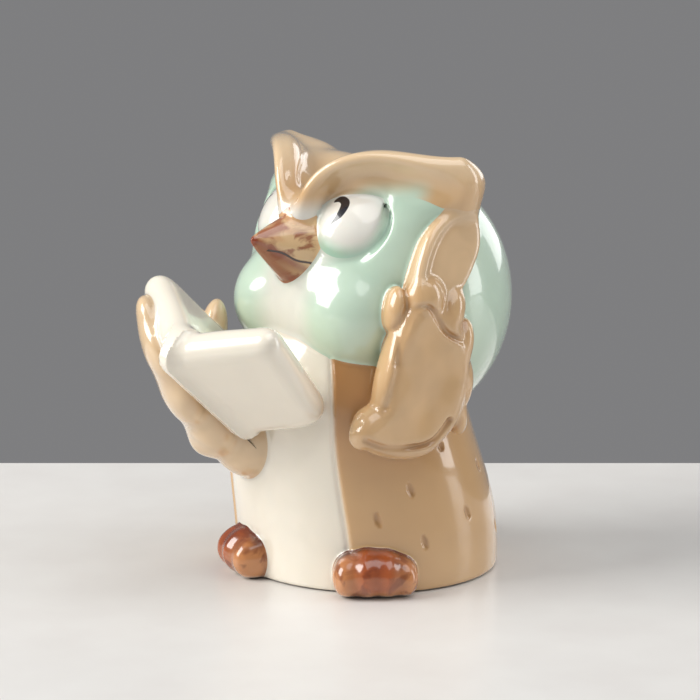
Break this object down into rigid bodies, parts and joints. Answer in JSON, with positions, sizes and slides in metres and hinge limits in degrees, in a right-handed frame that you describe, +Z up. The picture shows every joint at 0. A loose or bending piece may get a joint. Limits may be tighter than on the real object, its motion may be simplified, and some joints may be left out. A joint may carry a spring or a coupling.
{
  "type": "figural coin bank",
  "caption": "Glazed ceramic owl coin bank that reads an open book, hollow, with a coin slot behind the head and a soft stopper in its base.",
  "frame": {"origin": "centre of the round foot ring, on the surface the bank stands on", "axes": "+Z up; the body faces -Y; the owl's left side, with the raised wing, is +X; the head and the book are turned 16.5 degrees to the owl's right"},
  "size_m": [0.0825, 0.1119, 0.1206],
  "materials": {
    "coat_glaze": "glossy cream glaze sprayed tan over the back",
    "mint_glaze": "glossy pale mint glaze",
    "brow_glaze": "glossy tan glaze",
    "wing_glaze": "glossy tan glaze, darker where it pools in grooves",
    "book_glaze": "glossy ivory glaze",
    "eye_glaze": "glossy white glaze with a black brush mark",
    "beak_glaze": "glossy brown glaze brushed over tan",
    "foot_glaze": "glossy red-brown glaze brushed over tan",
    "stopper_rubber": "matt translucent soft stopper"
  },
  "bodies": {
    "owl": {"body_shell": "coat_glaze", "head_shell": "mint_glaze", "brow_left": "brow_glaze", "brow_right": "brow_glaze", "eye_left": "eye_glaze", "eye_right": "eye_glaze", "beak": "beak_glaze", "open_book": "book_glaze", "wing_left": "wing_glaze", "wing_left_feather": "wing_glaze", "wing_right": "wing_glaze", "foot_left": "foot_glaze", "foot_right": "foot_glaze"},
    "stopper": {"base_stopper": "stopper_rubber"}
  },
  "joints": [
    {"name": "stopper_pull", "type": "slide", "parent": "owl", "child": "stopper", "axis": [0, 0, -1], "range_m": [0, 0.012]}
  ]
}
